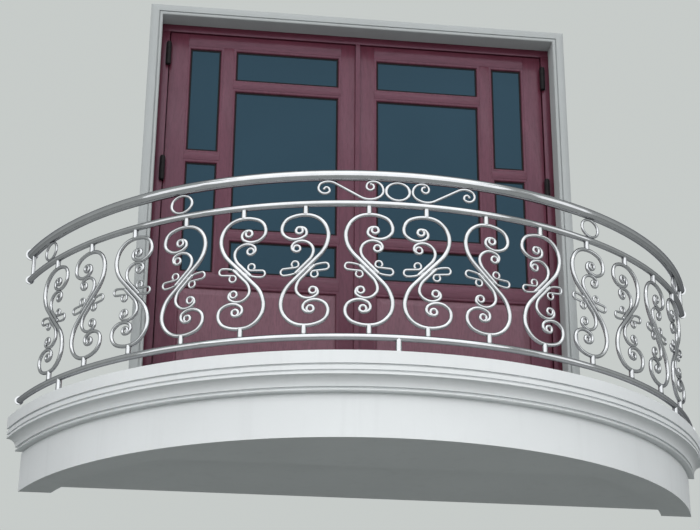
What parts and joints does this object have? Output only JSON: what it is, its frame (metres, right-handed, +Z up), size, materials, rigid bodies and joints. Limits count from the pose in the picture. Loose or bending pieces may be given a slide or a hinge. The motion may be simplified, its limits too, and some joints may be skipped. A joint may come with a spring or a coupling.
{
  "type": "juliet balcony",
  "caption": "Bow-fronted juliet balcony: moulded plaster edge, bent steel tube railing with scroll panels, and a glazed timber door set in a plaster surround.",
  "frame": {"origin": "middle of the flat back face of the slab's root, where the wall carries it", "axes": "+X to the right as seen from the street, +Y into the building, +Z up; the bow faces -Y"},
  "size_m": [3.9502, 1.625, 3.118],
  "materials": {
    "plaster": "white painted render, matt",
    "rail_steel": "polished stainless steel tube",
    "mahogany": "dark red-brown lacquered hardwood, satin",
    "pane": "tinted, clear",
    "hinge_black": "black, satin"
  },
  "bodies": {
    "root": {"balcony_slab": "plaster", "edge_beam": "plaster", "soffit_panel": "plaster", "cornice_moulding": "plaster", "handrail": "rail_steel", "upper_rail": "rail_steel", "bottom_rail": "rail_steel", "scroll_panel_01": "rail_steel", "scroll_panel_02": "rail_steel", "scroll_panel_03": "rail_steel", "scroll_panel_04": "rail_steel", "scroll_panel_05": "rail_steel", "scroll_panel_06": "rail_steel", "scroll_panel_07": "rail_steel", "scroll_panel_08": "rail_steel", "scroll_panel_09": "rail_steel", "scroll_panel_10": "rail_steel", "scroll_panel_11": "rail_steel", "scroll_panel_12": "rail_steel", "scroll_panel_13": "rail_steel", "scroll_panel_14": "rail_steel", "crest_ring": "rail_steel", "crest_scroll_left": "rail_steel", "crest_scroll_right": "rail_steel", "band_rings": "rail_steel", "foot_posts": "rail_steel", "end_posts": "rail_steel", "wall_flanges": "rail_steel", "door_surround": "plaster", "door_frame": "mahogany", "door_sill": "mahogany", "door_leaf_left": "mahogany", "door_leaf_right": "mahogany", "glazing_left": "pane", "glazing_right": "pane", "lower_panel_left": "mahogany", "lower_panel_right": "mahogany", "meeting_bead": "mahogany", "hinges_left": "hinge_black", "hinges_right": "hinge_black"}
  },
  "joints": []
}
